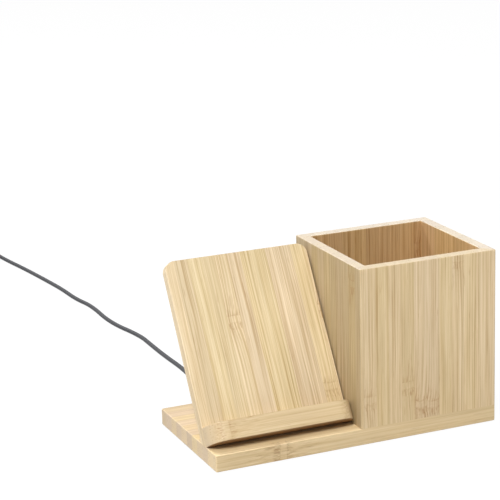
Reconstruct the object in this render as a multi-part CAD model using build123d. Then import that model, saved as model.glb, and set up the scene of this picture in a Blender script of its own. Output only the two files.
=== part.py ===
from build123d import *
import os
from math import cos, dist, pi, radians, sin, tan

# A desk stand of laminated bamboo boards. A square pen cup stands on the right of one base board.
# On the left a charging panel leans back over a lip that carries the phone. The coil is in the panel,
# its circuit is in a bay under the base, and a cable plugs into the base's back edge.
# Millimetres, +X to the right, +Y to the back, +Z up. The origin is under the middle of the base,
# on the surface that the feet stand on.

# Base board
base_length = 162.0
base_depth = 78.0
base_thickness = 9.0
corner_round = 1.0
edge_round = 0.6

# Rubber feet
foot_height = 1.0
foot_diameter = 10.0
foot_inset = 9.0
foot_round = 0.3

# Pen cup
cup_width = 80.0
cup_height = 86.4
cup_wall = 6.2
rim_round = 0.6
cup_floor_thickness = 6.0

# Charging panel, measured along its slope from the base's top
panel_lean = 30.8
panel_setback = 12.7
panel_gap = 0.8
panel_height = 100.0
panel_thickness = 6.3
panel_corner_round = 5.5
tenon_width = 60.0
tenon_depth = 6.0

# Lip that carries the phone, square to the panel
lip_height = 10.3
lip_depth = 13.2
lip_round = 9.7
dowel_diameter = 4.0
dowel_spacing = 50.0
dowel_in_panel = 4.2
dowel_in_lip = 6.8

# Charging coil and its pocket in the panel's back
coil_place = 64.0
coil_inner_radius = 10.0
coil_turns = 10
coil_pitch = 1.45
coil_wire = 1.0
coil_seam_angle = -105.0
pocket_diameter = 52.0
pocket_front_wall = 2.5
ferrite_thickness = 1.0
ferrite_diameter = 50.4
ferrite_bore = 22.0
ferrite_slot = 1.6
back_cover_size = 58.0
back_cover_round = 8.0
back_cover_thickness = 1.5

# The coil's two leads, the bores that they run down, and the slot from these to the bay
lead_wire = 0.8
lead_bore = 1.2
outer_lead_place = -3.4
inner_lead_place = -6.8
lead_start_run = 0.8
lead_turn_run = 7.5
lead_pad_place = 5.0
link_width = 6.4
link_gap = 0.2

# Electronics bay, milled from below
bay_width = 36.0
bay_setback = 11.3
bay_back_wall = 3.0
bay_roof = 2.0
bay_corner = 3.0
bay_cover_thickness = 1.5
bay_side_ledge = 7.0
bay_front_ledge = 4.0
bay_back_ledge = 1.5
cover_screw_inset = 3.5
cover_screw_end_gap = 9.0

# Circuit board and what is on it
board_width = 32.0
board_slide_room = 11.0
board_thickness = 1.0
board_corner = 1.5
tape_thickness = 0.3
tape_margin = 2.0
chip_size = 5.0
chip_height = 0.9
chip_row_share = 0.34
driver_length = 4.9
driver_width = 3.9
driver_height = 1.5
driver_spacing = 16.0
capacitor_length = 3.2
capacitor_width = 2.5
capacitor_height = 2.4
capacitor_pitch = 5.0
capacitor_count = 4
capacitor_row_share = 0.54
inductor_size = 6.0
inductor_height = 2.8
inductor_round = 1.0
inductor_row_share = 0.72

# USB-C socket and the plug in it
socket_width = 8.34
socket_height = 2.56
socket_wall = 0.31
socket_length = 7.3
socket_inset = 0.2
socket_window_gap = 0.2
tongue_width = 6.69
tongue_thickness = 0.7
tongue_recess = 1.3
tongue_root_width = 7.4
tongue_root_thickness = 1.9
tongue_root_length = 0.7
c_shell_width = 8.25
c_shell_height = 2.4
c_shell_wall = 0.35
c_shell_length = 6.65
c_body_width = 11.5
c_body_height = 6.0
c_body_length = 19.0
c_body_gap = 0.4
c_body_round = 1.0

# Cable, its strain reliefs and the USB-A plug on its far end
cable_diameter = 2.6
relief_length = 16.0
relief_root = 4.8
relief_tip = 3.6
relief_groove = 0.5
relief_grooves = 6
a_body_width = 15.6
a_body_height = 8.6
a_body_length = 21.0
a_body_round = 1.4
a_shell_width = 12.0
a_shell_height = 4.5
a_shell_wall = 0.3
a_shell_length = 15.0
a_window = 2.4
a_window_spacing = 5.6
a_window_place = 5.0
a_tongue_width = 11.0
a_tongue_thickness = 1.8
a_tongue_recess = 0.6

# Put-away coil of the cable: two layers, each of whole and half turns
cable_coil_radius = 15.0
cable_coil_pitch = 3.7
cable_coil_rise = 3.15
cable_coil_half_turns = 6
cable_coil_centre = (-86.5, 439.0)
cable_last_run = 20.0

# Screws
cup_screw_head = 7.0
cup_screw_head_height = 2.0
cup_screw_shank = 3.5
cup_screw_length = 12.0
cup_screw_x_spacing = 44.0
cup_screw_y_spacing = 40.0
cover_screw_head = 3.6
cover_screw_head_height = 1.0
cover_screw_shank = 2.0
cover_screw_length = 7.0
recess_share = 0.6
recess_width_share = 0.16

# Clearances
glue_gap = 0.1
hole_gap = 0.05
seat_gap = 0.05
overrun = 1.0

# How a cord's arcs use their runs, how finely a coil is measured, and how near an edge counts as there
arc_run_share = 0.45
half_turn_samples = 24
edge_tolerance = 0.05

# Places that follow from the sizes
right_end = base_length / 2
left_end = -right_end
back_face = base_depth / 2
front_face = -back_face
base_bottom = foot_height
base_top = base_bottom + base_thickness
cup_left = right_end - cup_width
cup_middle = right_end - cup_width / 2
cup_top = base_top + cup_height
panel_width = cup_left - left_end - panel_gap
panel_middle = left_end + panel_width / 2
panel_foot = front_face + panel_setback
panel_frame = Pos(panel_middle, panel_foot, base_top) * Rot(-panel_lean, 0, 0)
bay_back = back_face - bay_back_wall
bay_front = panel_foot + bay_setback
bay_ceiling = base_top - bay_roof
board_face = bay_ceiling - tape_thickness - board_thickness
board_back = bay_back - glue_gap
board_front = bay_front + board_slide_room
socket_outer_width = socket_width + 2 * socket_wall
socket_outer_height = socket_height + 2 * socket_wall
socket_z = board_face - socket_outer_height / 2
socket_mouth = back_face - socket_inset
socket_rear = socket_mouth - socket_length
c_body_face = back_face + c_body_gap
relief_face = c_body_face + c_body_length
cable_exit = relief_face + relief_length
cable_lay = cable_diameter / 2

# Route of the free cable over the table, and its first stretch down from the plug
cable_route = [
    (panel_middle, cable_exit, socket_z),
    (panel_middle, 84.0, socket_z),
    (-39.6, 101.0, cable_lay),
    (-38.2, 118.1, cable_lay),
    (-39.0, 144.4, cable_lay),
    (-40.0, 167.5, cable_lay),
    (-41.8, 198.7, cable_lay),
    (-46.8, 222.3, cable_lay),
    (-46.6, 258.7, cable_lay),
    (-50.8, 281.3, cable_lay),
    (-52.6, 308.5, cable_lay),
    (-55.6, 337.4, cable_lay),
    (-59.4, 371.0, cable_lay),
    (-63.4, 396.5, cable_lay),
]


def block(xs, ys, zs):
    """Box between a low and a high limit on each axis."""
    middle = [(low + high) / 2 for low, high in (xs, ys, zs)]
    return Pos(*middle) * Box(xs[1] - xs[0], ys[1] - ys[0], zs[1] - zs[0])


def centred(middle, size):
    """Low and high limit of a size about its middle."""
    return middle - size / 2, middle + size / 2


def slot_bar(x, z, width, height, ys):
    """Bar along Y with round sides, as wide and high as given."""
    face = Plane(origin=(x, ys[1], z), x_dir=(1, 0, 0), z_dir=(0, -1, 0)) * SlotOverall(width, height)
    return extrude(face, amount=ys[1] - ys[0])


def turned(profile):
    """Solid of revolution about Z from (radius, height) points, listed from the axis round to the axis."""
    return revolve(make_face(Polyline(*[(r, 0, z) for r, z in profile], close=True)), Axis.Z)


def on_panel(across, depth, height):
    """Point at a place on the leaning panel: sideways, behind its front face, and up its slope."""
    return (panel_frame * Pos(across, depth, height)).position


def tube(path, diameter):
    """Round tube along a path, with its volume set beside section times length."""
    section = Plane(origin=path @ 0, z_dir=path % 0) * Circle(diameter / 2)
    solid = sweep(section, path=path)
    print("tube volume", round(solid.volume, 1), "section times length",
          round(pi * diameter ** 2 / 4 * path.length, 1))
    return solid


def rounded_route(points):
    """Straight runs joined by the largest arcs that each corner's two runs allow."""
    vectors = [Vector(point) for point in points]
    runs = [after - before for before, after in zip(vectors, vectors[1:])]
    radii = []
    for first, second in zip(runs, runs[1:]):
        half = radians(first.get_angle(second)) / 2
        radii.append(arc_run_share * min(first.length, second.length) / tan(half))
    print("arc radii", [round(radius, 1) for radius in radii])
    return FilletPolyline(*vectors, radius=radii)


def wound_path(nodes, stub):
    """Path through places half a turn apart, each half turn two tangent arcs, with straight ends."""
    start, heading = nodes[0]
    pieces = [Line(start - heading * stub, start)]
    for (start, heading), (end, after) in zip(nodes, nodes[1:]):
        reach = (end - start).length / 2
        ahead, behind = start + heading * reach, end - after * reach
        joint = (ahead + behind) / 2
        pieces.append(TangentArc(start, joint, tangent=heading))
        pieces.append(TangentArc(joint, end, tangent=(behind - ahead).normalized()))
    end, heading = nodes[-1]
    pieces.append(Line(end, end + heading * stub))
    return Wire(pieces)


def print_least_gap(name, path, diameter, half_turns):
    """Print the least gap between turns, measured on points along the path."""
    count = half_turn_samples * half_turns
    points = [tuple(path @ (step / count)) for step in range(count + 1)]
    least = min(dist(points[low], points[high])
                for low in range(count + 1) for high in range(low + half_turn_samples, count + 1))
    print(name, "least gap to itself", round(least - diameter, 2))


def wood_screw(head, head_height, shank, length, grow=0.0):
    """Countersunk screw that points up, or with grow the hole that takes it."""
    head_radius, shank_radius = head / 2 + grow, shank / 2 + grow
    profile = [(0, -grow), (head_radius, -grow), (head_radius, 0), (shank_radius, head_height),
               (shank_radius, length - shank_radius), (0, length + grow)]
    if not grow:
        profile.remove((head_radius, -grow))
    return turned(profile)


def cross_recess(head, head_height):
    """Cross-shaped driver recess in the face of a screw's head."""
    arm, width, depth = head * recess_share, head * recess_width_share, head_height * recess_share
    return (block(centred(0, arm), centred(0, width), (-depth, depth))
            + block(centred(0, width), centred(0, arm), (-depth, depth)))


def cup_screw(grow=0.0):
    return wood_screw(cup_screw_head, cup_screw_head_height, cup_screw_shank, cup_screw_length, grow)


def cover_screw(grow=0.0):
    return wood_screw(cover_screw_head, cover_screw_head_height, cover_screw_shank, cover_screw_length, grow)


def cup_screw_places():
    """Where the four cup screws stand, with their heads flush with the base's underside."""
    return [Pos(cup_middle + side * cup_screw_x_spacing / 2, end * cup_screw_y_spacing / 2, base_bottom)
            for side in (-1, 1) for end in (-1, 1)]


def bay_cover_limits(grow=0.0):
    """Limits of the bay's cover plate, grown for its rebate."""
    half = bay_width / 2 + bay_side_ledge + grow
    return ((panel_middle - half, panel_middle + half),
            (bay_front - bay_front_ledge - grow, bay_back + bay_back_ledge + grow))


def cover_screw_places():
    """Where the four screws of the bay's cover plate stand."""
    xs, ys = bay_cover_limits()
    return [Pos(x, y, base_bottom)
            for x in (xs[0] + cover_screw_inset, xs[1] - cover_screw_inset)
            for y in (ys[0] + cover_screw_end_gap, ys[1] - cover_screw_end_gap)]


def foot_places():
    """Centres of the four feet on the surface that they stand on."""
    return [Pos(x, y, 0) for x in (left_end + foot_inset, right_end - foot_inset)
            for y in (front_face + foot_inset, back_face - foot_inset)]


def half_board(xs, free_end, rounded_top):
    """Half of the base board, rounded on the sides that stay free."""
    board = block(xs, (front_face, back_face), (base_bottom, base_top))
    end = -1 if free_end > 0 else 0
    board = fillet(board.edges().filter_by(Axis.Z).group_by(Axis.X)[end], corner_round)
    faces = board.faces().sort_by(Axis.Z)
    rims = faces[0].edges() + (faces[-1].edges() if rounded_top else [])
    joined = -1 - end
    inner = [edge for edge in rims if abs(edge.center().X - xs[joined]) < edge_tolerance]
    return fillet([edge for edge in rims if edge not in inner], edge_round)


def tenon(grow=0.0):
    """Tongue of the leaning panel below the base's top, grown for its mortise."""
    run = base_thickness + panel_thickness
    across, through = centred(0, tenon_width + 2 * grow), (-grow, panel_thickness + grow)
    plate = panel_frame * block(across, through, (-run, run))
    layer = block((left_end, cup_left), (front_face, back_face), (base_top - tenon_depth - grow, base_top))
    return plate & layer


def coil_depth():
    """Depth of the coil wire's middle behind the panel's front face."""
    return pocket_front_wall + seat_gap + coil_wire / 2


def ferrite_depth():
    """Depth of the ferrite disc's front face behind the panel's front face."""
    return pocket_front_wall + coil_wire + 2 * seat_gap


def lead_lines():
    """Place sideways and depth in the panel of the leads from the coil's outer and inner ends."""
    return ((outer_lead_place, coil_depth()), (inner_lead_place, ferrite_depth() + ferrite_thickness / 2))


def lead_level():
    """Height at which the leads turn back into the slot below the panel."""
    return base_top - tenon_depth + link_gap + lead_wire / 2


def lead_turn(across, depth):
    """Place where a lead that comes down the panel turns back towards the bay."""
    height = (lead_level() - base_top + depth * sin(radians(panel_lean))) / cos(radians(panel_lean))
    return height, on_panel(across, depth, height)


def lead_ways():
    """Bores down the panel for the leads, and the slot that links them to the bay."""
    top = coil_place - pocket_diameter / 2 + lead_bore
    bores, fronts = [], []
    for across, depth in lead_lines():
        height, turn = lead_turn(across, depth)
        bore = Pos(across, depth, (top + height) / 2) * Cylinder(lead_bore / 2, top - height)
        bores.append(panel_frame * bore)
        fronts.append(turn.Y - lead_bore / 2)
    middle = panel_middle + (outer_lead_place + inner_lead_place) / 2
    slot = block(centred(middle, link_width), (min(fronts), bay_front + overrun),
                 (base_top - tenon_depth, bay_ceiling))
    return bores[0] + bores[1] + slot


def make_base():
    board = half_board((left_end, cup_left), -1, True) + half_board((cup_left, right_end), 1, False)
    board -= tenon(glue_gap)
    bay = block(centred(panel_middle, bay_width), (bay_front, bay_back), (base_bottom, bay_ceiling))
    board -= fillet(bay.edges().filter_by(Axis.Z), bay_corner)
    rebate = block(*bay_cover_limits(glue_gap), (base_bottom, base_bottom + bay_cover_thickness))
    board -= fillet(rebate.edges().filter_by(Axis.Z), bay_corner)
    board -= slot_bar(panel_middle, socket_z, socket_outer_width + 2 * socket_window_gap,
                      socket_outer_height + 2 * socket_window_gap, (bay_back - overrun, back_face + overrun))
    board -= lead_ways()
    for place in cover_screw_places():
        board -= place * cover_screw(hole_gap)
    for place in cup_screw_places():
        board -= place * cup_screw(hole_gap)
    return board


def make_feet():
    foot = Pos(0, 0, foot_height / 2) * Cylinder(foot_diameter / 2, foot_height)
    foot = fillet(foot.faces().sort_by(Axis.Z)[0].edges(), foot_round)
    return [place * foot for place in foot_places()]


def make_bay_cover():
    plate = block(*bay_cover_limits(), (base_bottom, base_bottom + bay_cover_thickness))
    plate = fillet(plate.edges().filter_by(Axis.Z), bay_corner)
    for place in cover_screw_places():
        plate -= place * cover_screw(hole_gap)
    return plate


def make_cup_walls():
    """Ring of four boards, cut apart along the mitres at its corners."""
    outer = block((cup_left, right_end), (front_face, back_face), (base_top, cup_top))
    outer = fillet(outer.edges().filter_by(Axis.Z), corner_round)
    ring = outer - block((cup_left + cup_wall, right_end - cup_wall),
                         (front_face + cup_wall, back_face - cup_wall), (base_top, cup_top))
    ring = fillet(ring.faces().sort_by(Axis.Z)[-1].edges(), rim_round)

    def corners(inset):
        return [(cup_left + inset, front_face + inset), (right_end - inset, front_face + inset),
                (right_end - inset, back_face - inset), (cup_left + inset, back_face - inset)]

    walls = []
    for side in range(4):
        after = (side + 1) % 4
        outline = [corners(0)[side], corners(0)[after], corners(cup_wall)[after], corners(cup_wall)[side]]
        wedge = Pos(0, 0, base_top) * extrude(make_face(Polyline(*outline, close=True)), amount=cup_height)
        walls.append(ring & wedge)
    return walls


def make_cup_floor():
    inset = cup_wall + glue_gap
    floor = block((cup_left + inset, right_end - inset), (front_face + inset, back_face - inset),
                  (base_top, base_top + cup_floor_thickness))
    for place in cup_screw_places():
        floor -= place * cup_screw(hole_gap)
    return floor


def dowel(grow=0.0):
    """Dowel through the panel's front face into the lip, in the panel's frame."""
    length = dowel_in_panel + dowel_in_lip + 2 * grow
    middle = (dowel_in_panel - dowel_in_lip) / 2
    return Pos(0, middle, lip_height / 2) * Rot(90, 0, 0) * Cylinder(dowel_diameter / 2 + grow, length)


def dowels(grow=0.0):
    return [panel_frame * Pos(side * dowel_spacing / 2, 0, 0) * dowel(grow) for side in (-1, 1)]


def back_cover(grow=0.0):
    """Board that closes the coil's pocket, in the panel's frame."""
    size = back_cover_size + 2 * grow
    plate = block(centred(0, size), (panel_thickness - back_cover_thickness, panel_thickness),
                  centred(coil_place, size))
    return fillet(plate.edges().filter_by(Axis.Y), back_cover_round)


def make_panel():
    run = base_thickness + panel_thickness
    plate = block(centred(0, panel_width), (0, panel_thickness), (-run, panel_height))
    plate = fillet(plate.edges().filter_by(Axis.Y).group_by(Axis.Z)[-1], panel_corner_round)
    faces = plate.faces().sort_by(Axis.Y)
    rims = [edge for edge in faces[0].edges() + faces[-1].edges() if edge.center().Z > -run + edge_tolerance]
    plate = panel_frame * fillet(rims, edge_round)
    panel = plate & block((left_end, cup_left), (front_face, back_face + panel_height),
                          (base_top, base_top + panel_height))
    panel += tenon()
    depth = (pocket_front_wall, panel_thickness)
    pocket = Pos(0, sum(depth) / 2, coil_place) * Rot(90, 0, 0) * Cylinder(
        pocket_diameter / 2, depth[1] - depth[0])
    panel -= panel_frame * pocket
    panel -= panel_frame * back_cover(glue_gap)
    panel -= lead_ways()
    for hole in dowels(hole_gap):
        panel -= hole
    return panel


def make_lip():
    lip = block(centred(0, panel_width), (-lip_depth, 0), (0, lip_height))
    lip = fillet(lip.edges().filter_by(Axis.Z).group_by(Axis.Y)[0], lip_round)
    faces = lip.faces().sort_by(Axis.Z)
    rims = [edge for edge in faces[0].edges() + faces[-1].edges() if edge.center().Y < -edge_tolerance]
    lip = panel_frame * fillet(rims, edge_round)
    for hole in dowels(hole_gap):
        lip -= hole
    return lip


def coil_nodes():
    """Places half a turn apart along the flat spiral, and the way that the wire runs there."""
    nodes = []
    for half in range(2 * coil_turns + 1):
        angle = radians(coil_seam_angle + 180 * half)
        radius = coil_inner_radius + coil_pitch / 2 * half
        place = on_panel(radius * cos(angle), coil_depth(), coil_place + radius * sin(angle))
        ahead = on_panel(radius * cos(angle) - sin(angle), coil_depth(),
                         coil_place + radius * sin(angle) + cos(angle))
        nodes.append((place, (ahead - place).normalized()))
    return nodes


def make_coil():
    path = wound_path(coil_nodes(), coil_wire)
    print_least_gap("charging coil", path, coil_wire, 2 * coil_turns)
    return tube(path, coil_wire)


def make_ferrite():
    """Disc behind the coil, with a slot in which the inner lead crosses the turns."""
    disc = Cylinder(ferrite_diameter / 2, ferrite_thickness) - Cylinder(ferrite_bore / 2, ferrite_thickness)
    disc = Pos(0, ferrite_depth() + ferrite_thickness / 2, coil_place) * Rot(90, 0, 0) * disc
    slot = block(centred(inner_lead_place, ferrite_slot),
                 (ferrite_depth() - overrun, ferrite_depth() + ferrite_thickness + overrun),
                 (coil_place - ferrite_diameter, coil_place))
    return panel_frame * (disc - slot)


def lead_tail(across, depth):
    """Route of a lead from its turn below the panel to its pad on the circuit board."""
    height, turn = lead_turn(across, depth)
    pad_level = board_face - lead_wire / 2 - seat_gap
    return [turn, turn + Vector(0, lead_turn_run, 0), Vector(turn.X, board_front, pad_level),
            Vector(turn.X + lead_wire, board_front + lead_pad_place, pad_level)]


def make_leads():
    start, heading = coil_nodes()[0]
    end, away = coil_nodes()[-1]
    start, end = start - heading * coil_wire, end + away * coil_wire
    (across, depth), inner_line = lead_lines()
    aside = panel_middle + across - end.X
    outer = [end, end + away * (aside / away.X)] + lead_tail(across, depth)
    across, depth = inner_line
    inner = [start, start - heading * lead_start_run,
             on_panel(across, depth, coil_place - coil_inner_radius + coil_pitch)] + lead_tail(across, depth)
    return [tube(rounded_route(route), lead_wire) for route in (outer, inner)]


def make_board():
    board = block(centred(panel_middle, board_width), (board_front, board_back),
                  (board_face, board_face + board_thickness))
    board = fillet(board.edges().filter_by(Axis.Z), board_corner)
    tape = block(centred(panel_middle, board_width - 2 * tape_margin),
                 (board_front + tape_margin, board_back - tape_margin),
                 (board_face + board_thickness, bay_ceiling))
    return board, tape


def on_board(across, row_share, width, length, height):
    """Component that hangs from the circuit board's lower face, at a share of the board's length."""
    row = board_front + row_share * (board_back - board_front)
    return block(centred(panel_middle + across, width), centred(row, length), (board_face - height, board_face))


def make_components():
    chip = on_board(0, chip_row_share, chip_size, chip_size, chip_height)
    drivers = [on_board(side * driver_spacing / 2, chip_row_share, driver_width, driver_length, driver_height)
               for side in (-1, 1)]
    first = -(capacitor_count - 1) / 2 * capacitor_pitch
    capacitors = [on_board(first + capacitor_pitch * index, capacitor_row_share, capacitor_width,
                           capacitor_length, capacitor_height) for index in range(capacitor_count)]
    inductor = on_board(-driver_spacing / 2, inductor_row_share, inductor_size, inductor_size, inductor_height)
    inductor = fillet(inductor.edges().filter_by(Axis.Z), inductor_round)
    return chip, drivers, capacitors, inductor


def make_socket():
    shell = slot_bar(panel_middle, socket_z, socket_outer_width, socket_outer_height,
                     (socket_rear, socket_mouth))
    shell -= slot_bar(panel_middle, socket_z, socket_width, socket_height,
                      (socket_rear + socket_wall, socket_mouth + overrun))
    root_end = socket_rear + socket_wall + tongue_root_length
    tongue = block(centred(panel_middle, tongue_width), (root_end, socket_mouth - tongue_recess),
                   centred(socket_z, tongue_thickness))
    tongue += block(centred(panel_middle, tongue_root_width), (socket_rear + socket_wall, root_end),
                    centred(socket_z, tongue_root_thickness))
    return shell, tongue


def relief():
    """Tapered strain relief along +Z with grooves round it."""
    step = relief_length / (2 * relief_grooves + 1)
    profile = [(0, 0)]
    for index in range(2 * relief_grooves + 1):
        low, high = index * step, (index + 1) * step
        sunk = relief_groove / 2 if index % 2 else 0
        for height in (low, high):
            radius = relief_root / 2 + (relief_tip - relief_root) / 2 * height / relief_length
            profile.append((radius - sunk, height))
    profile.append((0, relief_length))
    return turned(profile)


def make_plug_c():
    shell = slot_bar(panel_middle, socket_z, c_shell_width, c_shell_height,
                     (c_body_face - c_shell_length, c_body_face))
    shell -= slot_bar(panel_middle, socket_z, c_shell_width - 2 * c_shell_wall,
                      c_shell_height - 2 * c_shell_wall, (c_body_face - c_shell_length - overrun, c_body_face))
    body = slot_bar(panel_middle, socket_z, c_body_width, c_body_height, (c_body_face, relief_face))
    body = fillet(body.faces().sort_by(Axis.Y)[-1].edges(), c_body_round)
    boot = Pos(panel_middle, relief_face, socket_z) * Rot(-90, 0, 0) * relief()
    return shell, body, boot


def cable_coil_nodes():
    """Places half a turn apart: in through the lower layer, a rise, then out through the upper one."""
    outer = cable_coil_radius + cable_coil_half_turns * cable_coil_pitch / 4
    inward = [outer - cable_coil_pitch / 2 * half for half in range(cable_coil_half_turns + 1)]
    places = ([(radius, cable_lay) for radius in inward]
              + [(radius, cable_lay + cable_coil_rise) for radius in reversed(inward)])
    nodes = []
    for half, (radius, height) in enumerate(places):
        side = 1 if half % 2 == 0 else -1
        place = Vector(cable_coil_centre[0] + side * radius, cable_coil_centre[1], height)
        nodes.append((place, Vector(0, side, 0)))
    return nodes


def make_cable():
    nodes = cable_coil_nodes()
    start, heading = nodes[0]
    entry = start - heading * cable_diameter
    route = cable_route + [entry - heading * cable_last_run, entry]
    free = tube(rounded_route(route), cable_diameter)
    path = wound_path(nodes, cable_diameter)
    print_least_gap("cable coil", path, cable_diameter, len(nodes))
    return free, tube(path, cable_diameter)


def make_plug_a():
    """Plug on the far end, which lies beside the coil and points back along it."""
    place = cable_coil_nodes()[-1][0]
    x, z = place.X, place.Z
    boot_end = place.Y - cable_diameter
    body_end = boot_end - relief_length
    shell_end = body_end - a_body_length
    boot = Pos(x, body_end, z) * Rot(-90, 0, 0) * relief()
    body = block(centred(x, a_body_width), (shell_end, body_end), centred(z, a_body_height))
    body = fillet(body.edges().filter_by(Axis.Y), a_body_round)
    body = fillet(body.faces().sort_by(Axis.Y)[-1].edges(), a_body_round / 2)
    tip = shell_end - a_shell_length
    shell = block(centred(x, a_shell_width), (tip, shell_end), centred(z, a_shell_height))
    shell -= block(centred(x, a_shell_width - 2 * a_shell_wall), (tip, shell_end),
                   centred(z, a_shell_height - 2 * a_shell_wall))
    for side in (-1, 1):
        shell -= block(centred(x + side * a_window_spacing / 2, a_window),
                       centred(tip + a_window_place, a_window), centred(z, a_shell_height))
    seat = z + a_shell_height / 2 - a_shell_wall
    tongue = block(centred(x, a_tongue_width), (tip + a_tongue_recess, shell_end),
                   (seat - a_tongue_thickness, seat))
    return boot, body, shell, tongue


def save(name, *solids):
    """Write one node as a STEP file."""
    shape = solids[0] if len(solids) == 1 else Compound(children=list(solids))
    export_step(shape, "parts/" + name + ".step")
    print(name, len(shape.solids()), round(shape.volume, 1))


os.makedirs("parts", exist_ok=True)

save("base_board", make_base())
save("rubber_feet", *make_feet())
save("base_cover_plate", make_bay_cover())
recess = cross_recess(cover_screw_head, cover_screw_head_height)
save("cover_screws", *[place * (cover_screw() - recess) for place in cover_screw_places()])

for wall_name, wall in zip(("front", "right", "back", "left"), make_cup_walls()):
    save("cup_" + wall_name + "_wall", wall)
save("cup_floor", make_cup_floor())
recess = cross_recess(cup_screw_head, cup_screw_head_height)
save("cup_screws", *[place * (cup_screw() - recess) for place in cup_screw_places()])

save("charger_panel", make_panel())
save("panel_back_cover", panel_frame * back_cover())
save("phone_lip", make_lip())
save("lip_dowels", *dowels())
save("charging_coil", make_coil())
save("ferrite_disc", make_ferrite())
save("coil_leads", *make_leads())

circuit_board, board_tape = make_board()
save("circuit_board", circuit_board)
save("board_tape", board_tape)
controller, drivers, capacitors, inductor = make_components()
save("controller_chip", controller)
save("driver_chips", *drivers)
save("resonant_capacitors", *capacitors)
save("power_inductor", inductor)

socket_shell, socket_tongue = make_socket()
save("usb_c_socket_shell", socket_shell)
save("usb_c_socket_tongue", socket_tongue)
plug_shell, plug_body, plug_relief = make_plug_c()
save("usb_c_plug_shell", plug_shell)
save("usb_c_plug_body", plug_body)
save("usb_c_strain_relief", plug_relief)

cable, cable_coil = make_cable()
save("cable", cable)
save("cable_coil", cable_coil)
far_relief, far_body, far_shell, far_tongue = make_plug_a()
save("usb_a_strain_relief", far_relief)
save("usb_a_plug_body", far_body)
save("usb_a_plug_shell", far_shell)
save("usb_a_plug_tongue", far_tongue)
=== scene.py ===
"""Looks of a bamboo desk stand: a square pen cup and a leaning phone charger on one base board.

The frame holds every rigid piece at its real size and place. Here each piece gets the finish of the real
one, and the cord, its plugs and their strain reliefs are modelled. Metres, +X right, +Y back, +Z up.
"""

import logging
import math
import random
from collections.abc import Iterable, Mapping, Sequence
from dataclasses import dataclass
from enum import Enum

import bmesh
import bpy
from mathutils import Matrix, Vector


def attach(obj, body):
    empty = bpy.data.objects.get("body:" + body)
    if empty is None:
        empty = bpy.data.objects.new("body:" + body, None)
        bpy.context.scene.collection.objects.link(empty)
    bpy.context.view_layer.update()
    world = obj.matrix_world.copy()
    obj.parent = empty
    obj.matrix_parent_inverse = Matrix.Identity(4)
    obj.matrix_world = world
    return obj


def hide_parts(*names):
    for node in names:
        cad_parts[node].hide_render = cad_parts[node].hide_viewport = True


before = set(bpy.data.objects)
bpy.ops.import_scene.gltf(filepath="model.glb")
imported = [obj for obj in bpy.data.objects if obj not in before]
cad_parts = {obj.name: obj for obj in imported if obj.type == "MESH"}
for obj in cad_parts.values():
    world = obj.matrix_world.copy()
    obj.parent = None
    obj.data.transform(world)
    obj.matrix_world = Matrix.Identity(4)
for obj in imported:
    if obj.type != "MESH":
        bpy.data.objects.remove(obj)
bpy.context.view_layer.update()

MM = 0.001
MIX_A, MIX_B = 6, 7  # the colour sockets of a Mix node
LOG = logging.getLogger("bamboo_stand")

Colour = tuple[float, float, float, float]
Pair = tuple[float, float]
Point = tuple[float, float, float]


def linear(colour: str) -> Colour:
    """Turn an sRGB hex colour into a linear one.

    Args:
        colour: a hash and six hex digits.

    Returns:
        Linear red, green, blue and a full alpha.
    """
    shares = [int(colour[place:place + 2], 16) / 255 for place in (1, 3, 5)]
    red, green, blue = [s / 12.92 if s <= 0.04045 else ((s + 0.055) / 1.055) ** 2.4 for s in shares]
    return red, green, blue, 1.0


def lit(colour: str, share: float) -> Colour:
    """Turn an sRGB hex colour into a linear one that sends back more or less light.

    Args:
        colour: a hash and six hex digits.
        share: how much light it sends back beside the plain colour.

    Returns:
        Linear red, green, blue and a full alpha.
    """
    red, green, blue, alpha = linear(colour)
    return red * share, green * share, blue * share, alpha


def add_node(
    tree: bpy.types.NodeTree,
    kind: str,
    inputs: Mapping[int | str, object] | None = None,
    stops: Sequence[tuple[float, Colour]] = (),
    **settings: object,
) -> bpy.types.Node:
    """Add one shader node with its settings and links.

    Args:
        tree: the material's node tree.
        kind: the node's type, after "ShaderNode".
        inputs: for each socket a value, a socket that feeds it, or a node whose first live output does.
        stops: places and colours of a colour ramp.
        **settings: the node's own attributes.

    Returns:
        The new node.
    """
    node = tree.nodes.new("ShaderNode" + kind)
    for name, value in settings.items():
        setattr(node, name, value)
    for socket, value in (inputs or {}).items():
        if isinstance(value, bpy.types.Node):
            value = next(output for output in value.outputs if output.enabled)
        if isinstance(value, bpy.types.NodeSocket):
            tree.links.new(value, node.inputs[socket])
        else:
            node.inputs[socket].default_value = value
    if stops:
        ramp = node.color_ramp
        while len(ramp.elements) < len(stops):
            ramp.elements.new(1.0)
        for element, (place, colour) in zip(ramp.elements, stops):
            element.position, element.color = place, colour
    return node


def empty_tree(owner: bpy.types.Material | bpy.types.World) -> bpy.types.NodeTree:
    """Turn on the nodes of a material or of the world and clear them."""
    owner.use_nodes = True
    owner.node_tree.nodes.clear()
    return owner.node_tree


def new_object(name: str, data: bpy.types.ID) -> bpy.types.Object:
    """Put a mesh, curve, lamp or camera into the scene as an object at the origin."""
    made = bpy.data.objects.new(name, data)
    bpy.context.scene.collection.objects.link(made)
    return made


class Finish:
    """A finish that makes its own material once and gives it to every piece that has it."""

    name: str

    def material(self) -> bpy.types.Material:
        """Make the finish's material, or find the one made before.

        Returns:
            The material.
        """
        made = bpy.data.materials.get(self.name)
        if made is None:
            made = bpy.data.materials.new(self.name)
            tree = empty_tree(made)
            add_node(tree, "OutputMaterial", {"Surface": self.shader(tree)})
        return made

    def shader(self, tree: bpy.types.NodeTree) -> bpy.types.Node:
        """Add the finish's nodes and return its surface shader."""
        raise NotImplementedError


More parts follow.
